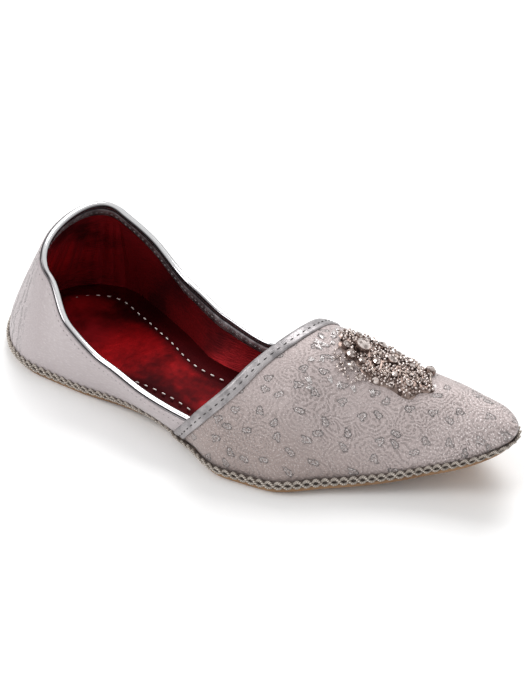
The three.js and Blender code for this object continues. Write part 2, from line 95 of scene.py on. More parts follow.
class Thread:
    """One socket of a material's node tree. Arithmetic on it adds Math nodes."""

    def __init__(self, tree, socket=None):
        self.tree = tree
        self.socket = socket

    def node(self, kind, settings, values, output=0):
        """Adds a node with these settings and input values, and gives one of its outputs."""
        made = self.tree.nodes.new(kind)
        for name, value in settings.items():
            setattr(made, name, value)
        for name, value in values.items():
            if isinstance(value, Thread):
                self.tree.links.new(value.socket, made.inputs[name])
            else:
                made.inputs[name].default_value = value
        return Thread(self.tree, made.outputs[output])

    def coordinates(self, kind):
        """The places on the piece: Object counts metres of the shoe and UV metres of cloth."""
        return self.node("ShaderNodeTexCoord", {}, {}, kind)

    def axis(self, letter):
        return self.node("ShaderNodeSeparateXYZ", {}, {0: self}, letter)

    def times(self, *factors):
        """These places with X, Y and Z each multiplied by its own factor."""
        return self.node("ShaderNodeVectorMath", {"operation": "MULTIPLY"}, {0: self, 1: factors})

    def noise(self, scale, detail, output=0):
        """A cloudy noise over these places."""
        values = {"Vector": self, "Scale": scale, "Detail": detail}
        return self.node("ShaderNodeTexNoise", {}, values, output)

    def maths(self, operation, *others):
        values = dict(enumerate((self, *others)))
        return self.node("ShaderNodeMath", {"operation": operation}, values)

    def __add__(self, other):
        return self.maths("ADD", other)

    def __mul__(self, other):
        return self.maths("MULTIPLY", other)

    def __sub__(self, other):
        return self.maths("SUBTRACT", other)

    def __rsub__(self, other):
        return self.maths("MULTIPLY_ADD", -1.0, other)

    def step(self, low, high):
        """0 below low and 1 above high, with a soft change between them."""
        settings = {"interpolation_type": "SMOOTHSTEP"}
        return self.node("ShaderNodeMapRange", settings, {0: self, 1: low, 2: high})

    def tint(self, low, high):
        """The colour low where this is 0 and high where it is 1."""
        ends = {
            place: colour if isinstance(colour, Thread) else (*colour, 1)
            for place, colour in ((6, low), (7, high))
        }
        return self.node("ShaderNodeMix", {"data_type": "RGBA"}, {0: self, **ends}, output=2)


def material(name, recipe, steady):
    """A material whose steady values are set on the shader; recipe(thread) gives those that vary."""
    made = bpy.data.materials.new(name)
    made.use_nodes = True
    shader = made.node_tree.nodes["Principled BSDF"]
    for socket, value in steady.items():
        shader.inputs[socket].default_value = value
    thread = Thread(made.node_tree)
    for socket, value in recipe(thread).items():
        if socket == "Relief":
            height, depth = value
            value = thread.node("ShaderNodeBump", {}, {"Height": height, "Distance": depth})
            socket = "Normal"
        made.node_tree.links.new(value.socket, shader.inputs[socket])
    return made


def build(name, bm, finish):
    """Turns a bmesh into an object of one material."""
    mesh = bpy.data.meshes.new(name)
    bm.to_mesh(mesh)
    bm.free()
    mesh.materials.append(finish)
    made = bpy.data.objects.new(name, mesh)
    bpy.context.scene.collection.objects.link(made)
    return made


def piece(name, bm, finish, slot, *nodes, smooth=True):
    """Turns a bmesh into a finished piece of the shoe that stands for the CAD nodes named."""
    made = build(name, bm, finish)
    if smooth:
        made.data.shade_smooth()
    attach(made, "root")
    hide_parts(*nodes)
    return made


def paper_recipe(thread):
    grain = thread.node("ShaderNodeTexNoise", {}, {"Scale": 30.0, "Detail": 2.0})
    return {"Base Color": grain.tint((0.955, 0.955, 0.955), (0.98, 0.98, 0.98))}


floor_paper = bmesh.new()
bmesh.ops.create_grid(floor_paper, x_segments=1, y_segments=1, size=FLOOR_HALF_WIDTH)
white_paper = material("white_paper", paper_recipe, {"Roughness": 0.5})
floor = build("floor", floor_paper, white_paper)

# The last, the form on which the shoe was made. Its sections run from the middle of the heel to the
# toe: the wall flares out above the sole, leans in over the heel's height and closes at the crown.
# A row gives a section's place, half width, swing, crown, flare, the flare's rise, lean, squareness.
LENGTH = 0.250
BALL_WIDTH = 0.080
WAIST_WIDTH = 0.047
HEEL_WIDTH = 0.071
TOE_SWING = 0.015
HEEL_HEIGHT = 0.060
INSTEP_HEIGHT = 0.059
SIDE_HEIGHT = 0.024
TOE_HEIGHT = 0.011
HEEL_TILT = 0.32
LEAN_LIMIT = 1.08
LEAN_POWER = 1.15
TOE_NOSE = 0.0024
TOE_TUCK = 0.0022
TOE_NOSE_POWER = 12
OUTSOLE_THICKNESS = 0.0025
SOLE_INSET = 0.0022
ARCH_RISE = 0.002
TOE_SPRING = 0.024
WALL = 0.002
VAMP_LAYER = 0.0013
CLEARANCE = 0.0003
BRAID_HEIGHT = 0.0046
BRAID_DEPTH = 0.0024
BRAID_PITCH = 0.004
INSOLE_THICKNESS = 0.002
WIDE = 0.5 * BALL_WIDTH
ORIGIN = np.array((-0.125688, 0.002232, 0))
SECTIONS = [
    (0.14, 0.500 * HEEL_WIDTH, 0.25, 1.50 * HEEL_HEIGHT, 0.06, 0.27 * HEEL_HEIGHT, 0.17, 3.0),
    (0.22, 0.460 * HEEL_WIDTH, 0.07, 1.45 * HEEL_HEIGHT, 0.08, 0.37 * HEEL_HEIGHT, 0, 3.0),
    (0.31, 0.580 * WAIST_WIDTH, -0.22, 1.40 * HEEL_HEIGHT, 0.16, 0.45 * HEEL_HEIGHT, -0.02, 3.0),
    (0.40, 0.480 * WAIST_WIDTH, -0.57, 1.20 * INSTEP_HEIGHT, 0.25, 0.40 * INSTEP_HEIGHT, -0.03, 2.8),
    (0.49, 0.650 * WIDE, -0.66, 1.00 * INSTEP_HEIGHT, 0.16, 0.33 * INSTEP_HEIGHT, -0.02, 2.4),
    (0.58, 0.960 * WIDE, -0.30, 0.90 * INSTEP_HEIGHT, 0.05, 0.24 * INSTEP_HEIGHT, 0, 2.05),
    (0.66, 0.975 * WIDE, -0.05, 0.86 * INSTEP_HEIGHT, 0.02, 0.19 * INSTEP_HEIGHT, 0, 2.0),
    (0.74, 0.820 * WIDE, 0.37, 0.715 * INSTEP_HEIGHT, 0.02, 0.17 * INSTEP_HEIGHT, 0, 1.95),
    (0.82, 0.645 * WIDE, 0.75, 0.58 * INSTEP_HEIGHT, 0.02, 0.14 * INSTEP_HEIGHT, 0, 2.0),
    (0.90, 0.440 * WIDE, 1.02, 0.445 * INSTEP_HEIGHT, 0.02, 0.12 * INSTEP_HEIGHT, 0, 2.1),
    (0.96, 0.295 * WIDE, 1.05, 0.315 * INSTEP_HEIGHT, 0.02, 0.10 * INSTEP_HEIGHT, 0, 2.2),
    (1.00, 0, 1.00, TOE_HEIGHT, 0, 0.10 * INSTEP_HEIGHT, 0, 2.4),
]
TOPLINE = [(-0.04, 1.00 * HEEL_HEIGHT), (0.07, 0.98 * HEEL_HEIGHT), (0.13, 0.82 * HEEL_HEIGHT),
           (0.21, 0.59 * HEEL_HEIGHT), (0.30, 0.98 * SIDE_HEIGHT), (0.40, 0.82 * SIDE_HEIGHT),
           (0.55, 0.72 * SIDE_HEIGHT)]
THROAT_SKEW = 0.20
THROAT = [(-0.20, 0.458), (0.00, 0.477), (0.41, 0.549), (0.68, 0.593), (0.80, 0.605), (0.88, 0.617),
          (1.30, 0.700)]
FLOOR_LINE = [(-0.05, 0), (0.22, 0), (0.36, ARCH_RISE), (0.50, 0), (0.64, 0),
              (0.72, 0.06 * TOE_SPRING), (0.80, 0.16 * TOE_SPRING), (0.90, 0.44 * TOE_SPRING),
              (1.00, TOE_SPRING), (1.04, 1.30 * TOE_SPRING)]


def through(places, heights):
    """A smooth curve through the points, level at its start, that never overshoots them."""
    x, y = np.array(places, float), np.array(heights, float)
    slope = np.diff(y) / np.diff(x)
    product = slope[:-1] * slope[1:]
    total = np.where(product > 0, slope[:-1] + slope[1:], 1)
    inner = np.where(product > 0, 2 * product / total, 0)
    tangent = np.concatenate([[0], inner, slope[-1:]])

    def curve(at):
        i = np.clip(np.searchsorted(x, at, side="right") - 1, 0, len(x) - 2)
        span = x[i + 1] - x[i]
        t = np.clip((at - x[i]) / span, 0, 1)
        rise = (3 * y[i + 1] - 3 * y[i] - span * (2 * tangent[i] + tangent[i + 1])) * t * t
        turn = (2 * y[i] - 2 * y[i + 1] + span * (tangent[i] + tangent[i + 1])) * t ** 3
        return y[i] + span * tangent[i] * t + rise + turn

    return curve


at, half, swing, crown, flare, rise, lean, square = np.array(SECTIONS, float).T
places = at * LENGTH
half_squared = through(places, half ** 2)
swing_at = through(places, swing * TOE_SWING)
crown_at = through(places, crown)
flare_at = through(places, flare * WIDE)
rise_at = through(places, rise)
lean_at = through(places, lean * HEEL_HEIGHT)
square_at = through(places, square)
topline_at = through(*(np.array(TOPLINE) * (LENGTH, 1)).T)
throat_at = through(*(np.array(THROAT) * (INSTEP_HEIGHT, LENGTH)).T)
floor_at = through(*(np.array(FLOOR_LINE) * (LENGTH, 1)).T)
HEEL_CENTRE = places[0]
HEEL_BACK_LEAN = 0.43 * HEEL_HEIGHT


def middle_of(around):
    """Where the section stands: around is 0 at the back of the heel, 1 at its middle, 2 at the toe."""
    ahead = np.maximum(np.abs(around) - 1, 0)
    return HEEL_CENTRE + (LENGTH - HEEL_CENTRE) * (1 - (1 - ahead) ** 2 * (1 + ahead))


def skin(around, height):
    """Points of the last's wall: around is below 0 on the outer side and above 0 on the inner one."""
    around, height = np.broadcast_arrays(np.asarray(around, float), np.asarray(height, float))
    fan = np.minimum(np.abs(around), 1) * math.pi / 2
    middle = middle_of(around)
    square = square_at(middle)
    closing = (1 - np.clip(height / crown_at(middle), 0, 1) ** square) ** (1 / square)
    flare = flare_at(middle) * (1 - np.maximum(1 - height / rise_at(middle), 0) ** 2)
    leaning = np.clip(height / HEEL_HEIGHT, 0, LEAN_LIMIT) ** LEAN_POWER
    back = HEEL_CENTRE + flare - HEEL_BACK_LEAN * leaning
    half = np.sqrt(np.maximum(half_squared(middle), 0)) + flare - lean_at(middle) * leaning
    tilt = HEEL_TILT * lean_at(middle) * leaning
    under = np.maximum(1 - height / TOE_HEIGHT, 0) ** 2
    nose = (TOE_NOSE - (TOE_NOSE + TOE_TUCK) * under) * (middle / LENGTH) ** TOE_NOSE_POWER
    x = middle - np.cos(fan) * back * closing + nose
    y = swing_at(middle) + tilt + np.sign(around) * np.sin(fan) * half * closing
    return np.stack([x, y, height], axis=-1)


def unit(vectors):
    return vectors / np.maximum(np.linalg.norm(vectors, axis=-1, keepdims=True), 1e-12)


def wall(around, height, offset):
    """Points that stand off the last by offset, over the sole, in the frame of the part."""
    around, height = np.broadcast_arrays(np.asarray(around, float), np.asarray(height, float))
    side = np.where(around < 0, -1, 1)
    step = 0.001
    lift = 1e-6
    along = np.clip(np.abs(around), 2 * step, 2 - 2 * step)
    share = height / crown_at(middle_of(along))
    ahead = (skin(side * (along + step), share * crown_at(middle_of(along + step)))
             - skin(side * (along - step), share * crown_at(middle_of(along - step))))
    above = skin(side * along, height + lift) - skin(side * along, np.maximum(height - lift, 0))
    normal = unit(np.cross(ahead, above) * -side[..., None])
    normal[..., 2] *= np.clip(height / SIDE_HEIGHT, 0, 1)
    points = skin(around, height) + unit(normal) * np.asarray(offset, float)[..., None]
    feather = floor_at(skin(around, 0)[..., 0]) + OUTSOLE_THICKNESS + CLEARANCE
    points[..., 2] += feather
    return points + ORIGIN


def grid(columns, rows, place, merged=False):
    """A bmesh grid laid where place(u, v) says. Its UV map counts metres of cloth. A merged grid
    is closed along the edges that meet."""
    bm = bmesh.new()
    bmesh.ops.create_grid(bm, x_segments=columns, y_segments=rows, size=0.5)
    corners = np.array([vert.co[:2] for vert in bm.verts]) + 0.5
    points, *cloth = place(corners[:, 0], corners[:, 1])
    cloth = np.stack(cloth, axis=-1)
    weave = bm.loops.layers.uv.new("weave")
    for face in bm.faces:
        for loop in face.loops:
            loop[weave].uv = cloth[loop.vert.index]
    for vert, point in zip(bm.verts, points):
        vert.co = point
    if merged:
        bmesh.ops.remove_doubles(bm, verts=bm.verts, dist=1e-6)
        bmesh.ops.recalc_face_normals(bm, faces=bm.faces)
    return bm


def smoothly(value, low, high):
    """0 below low and 1 above high, with a soft change between them."""
    share = np.clip((value - low) / (high - low), 0, 1)
    return share * share * (3 - 2 * share)


def cover_at(around):
    """How far the braid's inner face stands off the last: the vamp's layer pushes it out."""
    x = skin(around, 0)[..., 0]
    start = throat_at(0.0) - 2 * BRAID_PITCH
    return CLEARANCE + VAMP_LAYER * smoothly(x, start, start + BRAID_PITCH)


# Outsole: one layer of tan vegetable-tanned leather, cut by hand and sewn up into the braid. Its
# edge is rounded by rubbing, and it is flat where it meets the floor.
SOLE_EDGE_ROUND = 0.0006
SOLE_STATIONS = 200
SOLE_TOP = -CLEARANCE
SOLE_BOTTOM = SOLE_TOP - OUTSOLE_THICKNESS
SOLE_SIDE = [
    (SOLE_BOTTOM, 2 * SOLE_EDGE_ROUND),
    (SOLE_BOTTOM + 0.15 * SOLE_EDGE_ROUND, SOLE_EDGE_ROUND),
    (SOLE_BOTTOM + 0.6 * SOLE_EDGE_ROUND, 0.35 * SOLE_EDGE_ROUND),
    (SOLE_BOTTOM + 1.6 * SOLE_EDGE_ROUND, 0),
    (SOLE_TOP - SOLE_EDGE_ROUND, 0),
    (SOLE_TOP - 0.4 * SOLE_EDGE_ROUND, 0.25 * SOLE_EDGE_ROUND),
    (SOLE_TOP, SOLE_EDGE_ROUND),
]
sole_section = np.array(
    [(-1, up, inset) for up, inset in SOLE_SIDE]
    + [(0, SOLE_TOP, SOLE_EDGE_ROUND)]
    + [(1, up, inset) for up, inset in reversed(SOLE_SIDE)]
    + [(0, SOLE_BOTTOM, 2 * SOLE_EDGE_ROUND)]
)


def corners_of(section, v):
    """The corners of a closed section, taken in turn as v goes from 0 to 1, one array a column."""
    return section[np.rint(v * len(section)).astype(int) % len(section)].T


def sole_place(u, v):
    """Along the sole with u, and with v round its section: one side, over, the other side, under."""
    across, up, inset = corners_of(sole_section, v)
    around = 2 * u
    offset = cover_at(around) + BRAID_DEPTH - SOLE_INSET - inset
    outer = wall(-around, 0, offset)
    inner = wall(around, 0, offset)
    share = (across[:, None] + 1) / 2
    points = outer * (1 - share) + inner * share
    points[:, 2] += up
    return points, points[:, 0], points[:, 1]


def leather_recipe(thread):
    place = thread.coordinates("Object")
    cloud = place.noise(60.0, 5.0)
    grain = thread.node("ShaderNodeTexVoronoi", {}, {"Vector": place, "Scale": 1400.0})
    layers = place.times(60.0, 60.0, 2200.0).noise(1.0, 3.0)
    colour = (cloud * 0.7 + layers * 0.3).step(0.3, 0.7).tint((0.20, 0.105, 0.05), (0.40, 0.24, 0.13))
    return {"Base Color": colour, "Roughness": cloud * 0.3 + 0.45,
            "Relief": (grain * 0.5 + layers, 0.00012)}


tan_leather = material("tan_leather", leather_recipe, {"Specular IOR Level": 0.35})
sole = grid(columns=SOLE_STATIONS, rows=len(sole_section), place=sole_place, merged=True)
piece("sole_leather", sole, tan_leather, "sole_leather", "outsole")

# Insole: a board covered in the crimson satin of the lining, slightly padded, with the covering
# sewn down along a line of white stitches well inside its edge.
STITCH_LINE = 0.0125
PADDING = 0.0009
PADDING_EDGE = 0.012
GROOVE_WIDTH = 0.0012
GROOVE_INSIDE = 0.003
GROOVE_DEPTH = 0.7 * PADDING
CLOTH_A_TURN = 0.075
insole_turns = np.linspace(0, 1, 41)
insole_across = (1 - np.cos(math.pi * insole_turns)) / 2


def insole_place(u, v):
    """Along the insole with u, and with v from side to side, first over its top and then under."""
    top = v < 0.5
    share = np.interp(np.where(top, 2 * v, 2 - 2 * v), insole_turns, insole_across)
    around = 2 * u
    height = np.where(top, INSOLE_THICKNESS, 0)
    offset = np.full_like(u, -WALL - 2 * CLEARANCE)
    outer = wall(-around, height, offset)
    inner = wall(around, height, offset)
    points = outer * (1 - share[:, None]) + inner * share[:, None]
    width = np.linalg.norm(inner - outer, axis=-1)
    edge = np.minimum(share, 1 - share) * width
    from_heel = points[:, 0] - ORIGIN[0]
    edge = np.minimum(edge, np.maximum(np.minimum(from_heel, LENGTH - from_heel), 0))
    groove = np.exp(-((edge - STITCH_LINE + GROOVE_INSIDE) / GROOVE_WIDTH) ** 2)
    dome = smoothly(edge, 0, PADDING_EDGE)
    points[:, 2] += np.where(top, PADDING * dome - GROOVE_DEPTH * groove, 0)
    return points, points[:, 0], edge


def satin_recipe(dark, bright, painted_edge_shade):
    """Satin painted brighter along its folds, a painted sheen, where it is also glossier. At the back
    of the heel the folds are painted a brighter red, a painted highlight; for the insole the satin
    is painted darker towards its edge, painted shade by the walls.
    """
    def recipe(thread):
        place = thread.coordinates("Object")
        fold = place.noise(34.0, 3.0)
        slub = place.times(260.0, 260.0, 2200.0).noise(1.0, 2.0)
        shine = (fold * 0.8 + slub * 0.2).step(0.34, 0.66)
        # Painted shade: on the insole the shine is dimmed within about 16 mm of its edge, by the walls.
        if painted_edge_shade:
            edge = thread.coordinates("UV").axis("Y")
            shine = shine * (edge.step(0.010, 0.016) * 0.8 + 0.1) + edge.step(0.014, 0.020) * 0.1
        # Painted highlight: at the back of the heel the shining folds are painted a brighter red.
        heel = place.axis("X").step(-0.070, -0.112)
        colour = (heel * shine).tint(shine.tint(dark, bright), (0.62, 0.035, 0.05))
        return {"Base Color": colour, "Roughness": 0.58 - shine * 0.14 + slub * 0.06,
                "Relief": (fold + slub * 0.12, 0.0012)}
    return recipe


crimson_satin = material(
    "crimson_satin",
    satin_recipe((0.07, 0.006, 0.008), (0.32, 0.014, 0.018), painted_edge_shade=False),
    {"Metallic": 0.85, "Specular IOR Level": 0.2})
# The insole's copy of the satin is painted darker than the lining's, painted shade inside the shoe.
insole_satin = material(
    "insole_satin",
    satin_recipe((0.03, 0.002, 0.003), (0.26, 0.004, 0.006), painted_edge_shade=True),
    {"Metallic": 0.92, "Specular IOR Level": 0.1})
insole = grid(columns=180, rows=2 * len(insole_turns), place=insole_place, merged=True)
piece("insole_satin", insole, insole_satin, "lining_satin", "insole")


def stitches(name, places, directions, outward, size, finish, slot, *nodes):
    """A row of sewn stitches, each a rounded bar that lies along its direction. size is the length
    and the thickness of one."""
    bm = bmesh.new()
    for place, direction, out in zip(places, directions, outward):
        along = Vector(direction).normalized()
        up = Vector(out).normalized()
        across = up.cross(along).normalized()
        up = along.cross(across)
        turn = Matrix((along * size[0] / 2, across * size[1] / 2, up * size[1] / 2)).transposed()
        lying = turn.to_4x4() @ Matrix.Rotation(math.pi / 2, 4, "Y")
        bmesh.ops.create_uvsphere(bm, u_segments=6, v_segments=5, radius=1,
                                  matrix=Matrix.Translation(Vector(place)) @ lying)
    return piece(name, bm, finish, slot, *nodes)


def length_along(path):
    """How far along a path of points each of them lies."""
    return np.concatenate([[0], np.cumsum(np.linalg.norm(np.diff(path, axis=0), axis=-1))])


def spaced(path, spacing):
    """Points and directions at even spacing along a path of points, and how far round each stands."""
    length = length_along(path)
    count = int(length[-1] / spacing)
    wanted = (np.arange(count) + 0.5) * length[-1] / count
    share = np.interp(wanted, length, np.linspace(0, 1, len(path)))
    points, ahead = (np.stack([np.interp(place, length, path[:, k]) for k in range(3)], axis=-1)
                     for place in (wanted, wanted + spacing / 10))
    return points, ahead - points, share


def thread_recipe(low, high):
    """Sewing thread, its twist showing as a change between two tones."""
    def recipe(thread):
        twist = thread.coordinates("Object").noise(900.0, 2.0)
        return {"Base Color": twist.step(0.3, 0.7).tint(low, high), "Relief": (twist, 0.0001)}
    return recipe


white_thread = material("white_thread", thread_recipe((0.55, 0.50, 0.47), (0.85, 0.82, 0.78)),
                        {"Roughness": 0.6})
INSOLE_STITCH = (0.0022, 0.0007)
INSOLE_STITCH_SPACING = 0.005
INSOLE_STITCH_LIFT = 0.0006
INSOLE_STITCH_REACH = 1.70
line_around = np.linspace(-INSOLE_STITCH_REACH, INSOLE_STITCH_REACH, 1200)
line = wall(line_around, INSOLE_THICKNESS, -STITCH_LINE)
line[:, 2] += INSOLE_STITCH_LIFT
points, directions, _ = spaced(line, INSOLE_STITCH_SPACING)
stitches("insole_stitches", points, directions, [(0, 0, 1)] * len(points), INSOLE_STITCH,
         white_thread, "lining_satin", "insole")

# Quarters: silver-grey brocade that wraps the heel in one piece and runs forward under the vamp. It
# is laid on the last and drawn smooth, with the cloth's own woven leaves showing near the heel, where
# the weave is also painted with glints, painted highlights.
BROCADE = 0.0010
QUARTER_END = 0.144


def search(low, high, short):
    """The place between low and high up to which short(place) holds, found by halving."""
    for halving in range(40):
        middle = (low + high) / 2
        before = short(middle)
        low = np.where(before, middle, low)
        high = np.where(before, high, middle)
    return low


def around_at(x):
    """How far round the last the section at x stands."""
    return search(np.full(np.shape(x), 1.0), np.full(np.shape(x), 2.0),
                  lambda around: middle_of(around) < x)


def collar_height(around):
    """Height of the topline at one place round the shoe, where the wall itself leans."""
    height = np.full(np.shape(around), HEEL_HEIGHT)
    for settling in range(12):
        height = topline_at(skin(around, height)[..., 0])
    return height


quarter_reach = float(around_at(QUARTER_END))


def quarter_place(u, v):
    around = quarter_reach * (2 * u - 1)
    height = v * collar_height(around)
    return wall(around, height, 0), around * CLOTH_A_TURN, height


def brocade_recipe(ground, scroll, bright, figure):
    """Metallic brocade. figure is sprigs, the vamp's little flowers, or leaves, those of the heel.
    The sizes in the pattern count millimetres of cloth."""
    def recipe(thread):
        cloth = thread.coordinates("UV").times(1000.0, 1000.0, 1000.0)
        drift = cloth.noise(0.14, 1.5, "Color").times(6.0, 6.0, 6.0)
        drawn = thread.node("ShaderNodeVectorMath", {"operation": "ADD"}, {0: cloth, 1: drift})

        def cells(places, spacing, randomness):
            """Cells strewn over the cloth: where each place lies from the middle of its cell, in x
            and y, in radius and angle, and the cell's own number from 0 to 1."""
            values = {"Vector": places, "Scale": 1 / spacing, "Randomness": randomness}
            flat = {"voronoi_dimensions": "2D"}
            centre = thread.node("ShaderNodeTexVoronoi", flat, values, "Position")
            cell = thread.node("ShaderNodeTexVoronoi", flat, values, "Color")
            x = places.axis("X") - centre.axis("X")
            y = places.axis("Y") - centre.axis("Y")
            own = thread.node("ShaderNodeSeparateColor", {}, {0: cell})
            return x, y, (x * x + y * y).maths("SQRT"), y.maths("ARCTAN2", x), own

        def line(distance, width):
            """1 within half the width of where the distance is 0, fading to 0 at the full width."""
            return 1 - distance.maths("ABSOLUTE").step(width * 0.5, width)

        _, _, radius, angle, own = cells(drawn, 13.0, 0.8)
        spiral = (radius * 3.3 + (angle + own * 6.28) * 2.0).maths("SINE")
        _, _, radius, angle, own = cells(drawn, 5.5, 0.9)
        curl = (radius * 3.9 - (angle - own * 6.28) * 3.0).maths("SINE")
        scrolls = (spiral * 0.6 + curl * 0.5).step(0.05, 0.45)
        weave = cloth.noise(1.7, 4.0)
        glints = cloth.noise(2.6, 2.0)
        worn = cloth.noise(0.05, 2.0).step(0.40, 0.60)
        along = cloth.axis("X")
        if figure == "sprigs":
            _, _, radius, angle, own = cells(cloth, 9.0, 0.6)
            angle = angle + own * 6.28
            lobes = (angle * 3.0).maths("COSINE") * own + (angle * 2.0).maths("SINE") * (1 - own)
            bloom = lobes * 0.55 + angle.maths("COSINE") * (own * 0.8) + 1.4
            outline = line(radius - bloom + glints * 2.4 - 1.2, 0.36)
            inner = line(radius - bloom * 0.45, 0.25) * 0.7
            lit = line(radius - bloom + glints * 2.4 - 0.7, 0.5) * weave.step(0.42, 0.58)
            drawing = outline.maths("MAXIMUM", inner) * weave.step(0.36, 0.50)
            strength = worn * 0.25 + 0.80
            # Towards the toe the scrolls show more and the weave is painted with more glints, painted
            # highlights; the painted shade low on the sides gives way there.
            pattern_and_painted_glints = along.step(205.0, 240.0)
            texture = worn * 0.35 + 0.35 + pattern_and_painted_glints * 0.3
            # Painted shade: lower on the sides of the vamp the ground is painted a darker, warmer tone.
            painted_shade_low_on_the_side = cloth.axis("Y").maths("ABSOLUTE").step(28.0, 62.0)
            colour = (painted_shade_low_on_the_side * (1 - pattern_and_painted_glints) * 0.46).tint(ground, (0.20, 0.135, 0.105))
        else:
            x, y, _, _, _ = cells(drawn, 6.5, 0.8)
            reach = (x * x * 1.1 + y * y * 0.16).maths("SQRT")
            vein = line(x, 0.22) * (1 - reach.step(0.7, 1.0))
            # Near the back of the heel the leaves and the scrolls show, and the weave and the leaves'
            # edges are painted with glints, painted highlights.
            pattern_and_painted_glints = 1 - along.maths("ABSOLUTE").step(48.0, 66.0)
            drawing = line(reach - 1.1, 0.34).maths("MAXIMUM", vein) * pattern_and_painted_glints * weave.step(0.34, 0.50)
            lit = line(reach - 0.8, 0.4) * pattern_and_painted_glints * glints.step(0.45, 0.6)
            strength = worn * 0.2 + 0.55
            texture = pattern_and_painted_glints * 0.3 + 0.12
            colour = ground
        colour = (scrolls * texture * (weave * 0.8 + 0.6)).tint(colour, scroll)
        # The weave's bright speckles and the lit lines beside the drawn outlines are painted glints,
        # painted highlights.
        colour = (weave.step(0.54, 0.66) * (pattern_and_painted_glints * 0.45 + 0.35)).tint(colour, bright)
        colour = (drawing * strength * weave.step(0.25, 0.5)).tint(colour, (0.085, 0.072, 0.07))
        colour = (lit * 0.8).tint(colour, bright)
        relief = scrolls * texture * 0.6 + weave * 0.35 + lit * 0.5 - drawing * 0.5
        return {"Base Color": colour, "Roughness": 0.60 - scrolls * 0.10 - lit * 0.25,
                "Metallic": weave * 0.25 + lit * 0.4 + 0.10, "Relief": (relief, 0.00035)}
    return recipe


def thicken(sheet, thickness):
    """Thickens a sheet at its back, so that its face stays where it is."""
    made = sheet.modifiers.new("wall", "SOLIDIFY")
    made.thickness = thickness
    made.offset = -1


quarter_brocade = material(
    "quarter_brocade",
    brocade_recipe((0.475, 0.42, 0.425), (0.55, 0.49, 0.50), (0.74, 0.70, 0.71), "leaves"),
    {"Sheen Weight": 0.15})
quarter = grid(columns=240, rows=28, place=quarter_place)
thicken(piece("quarters", quarter, quarter_brocade, "brocade", "upper"), BROCADE)

# Vamp: the second piece of brocade, drawn over the toe and lasted over the quarters. The cloth is
# pulled towards the toe, where it lies in soft pleats, and its weave carries dark sprigs. A crease
# runs from x, y to x, y in plan on the last; then come its width and its rise, below 0 in a trough.
VAMP_THICKNESS = 0.0012
VAMP_STRETCH = 1.08
CREASES = [
    (0.196, -0.020, 0.236, 0.004, 0.0050, 0.00045),
    (0.188, -0.012, 0.232, 0.012, 0.0045, -0.00040),
    (0.212, 0.016, 0.240, 0.018, 0.0040, 0.00040),
    (0.205, -0.002, 0.228, 0.010, 0.0030, 0.00035),
    (0.150, -0.030, 0.176, -0.026, 0.0050, -0.00035),
    (0.165, 0.030, 0.205, 0.032, 0.0055, -0.00040),
]


def throat_around(up, outer):
    """Where the vamp's edge crosses: up is the share of the way from the feather to the ridge."""
    def behind(around):
        height = vamp_height(around, up)
        place = skin(np.where(outer, -around, around), height)
        return place[..., 0] - THROAT_SKEW * place[..., 1] < throat_at(height)

    return search(np.full(up.shape, 1.2), np.full(up.shape, 2.0), behind)


def vamp_height(around, up):
    """Height of a place on the vamp: rows of equal share lie evenly over the rounded section."""
    middle = middle_of(around)
    rounded = np.sin(math.pi / 2 * up) ** (2 / square_at(middle))
    return crown_at(middle) * (up * (1 - up) + up * rounded)


def folds(x, y):
    """Height of the soft troughs and ridges in the cloth at a place in plan on the last."""
    total = np.zeros(np.shape(x))
    for from_x, from_y, to_x, to_y, width, rise in CREASES:
        length = math.dist((from_x, from_y), (to_x, to_y))
        ahead_x, ahead_y = (to_x - from_x) / length, (to_y - from_y) / length
        along = ((x - from_x) * ahead_x + (y - from_y) * ahead_y) / length
        aside = ((y - from_y) * ahead_x - (x - from_x) * ahead_y) / width
        ends = smoothly(along, -0.25, 0.25) * (1 - smoothly(along, 0.75, 1.25))
        total += rise * ends * np.exp(-aside * aside)
    return total


def vamp_place(offset, folded=1.0):
    """Places on a sheet that stands off the last by offset, from the throat forward with u and from
    the outer feather line over the ridge to the inner one with v."""
    def place(u, v):
        outer = v < 0.5
        up = 1 - np.abs(2 * v - 1)
        first = throat_around(up, outer)
        around = first + (2 - first) * u
        height = vamp_height(around, up)
        side = np.where(outer, -around, around)
        plan = skin(side, height)
        points = wall(side, height, offset + folded * folds(plan[:, 0], plan[:, 1]))
        ridge = wall(around, crown_at(middle_of(around)), offset)
        across = VAMP_STRETCH * np.linalg.norm(points - ridge, axis=-1) * np.where(outer, -1, 1)
        return points, middle_of(around), across
    return place


vamp_brocade = material(
    "vamp_brocade",
    brocade_recipe((0.475, 0.40, 0.39), (0.25, 0.205, 0.195), (1.0, 0.94, 0.93), "sprigs"),
    {"Sheen Weight": 0.15})
vamp = grid(columns=170, rows=110, place=vamp_place(VAMP_LAYER))
thicken(piece("vamp", vamp, vamp_brocade, "brocade", "upper"), VAMP_THICKNESS)

# Lining: crimson satin glued inside both pieces of brocade. At the back of the heel it stands in
# upright wrinkles where the flat cloth goes round the curve.
LINING = 0.0008
LINING_BELOW_TOPLINE = 0.003
LINING_GAP = 0.0002
WRINKLE_DEPTH = 0.0012


def lining_place(u, v):
    around = quarter_reach * (2 * u - 1)
    height = v * (collar_height(around) - LINING_BELOW_TOPLINE)
    upright = np.abs(np.sin(around * 13 + 0.6)) + 0.5 * np.abs(np.sin(around * 29 + 2))
    fading = np.sin(math.pi * np.clip(0.08 + v * 0.92, 0, 1)) * (1 - smoothly(v, 0.78, 0.98))
    wrinkle = upright * smoothly(1.2 - np.abs(around - 0.15), 0, 0.5) * fading
    points = wall(around, height, LINING_GAP - WALL - WRINKLE_DEPTH * wrinkle)
    return points, around * CLOTH_A_TURN, height


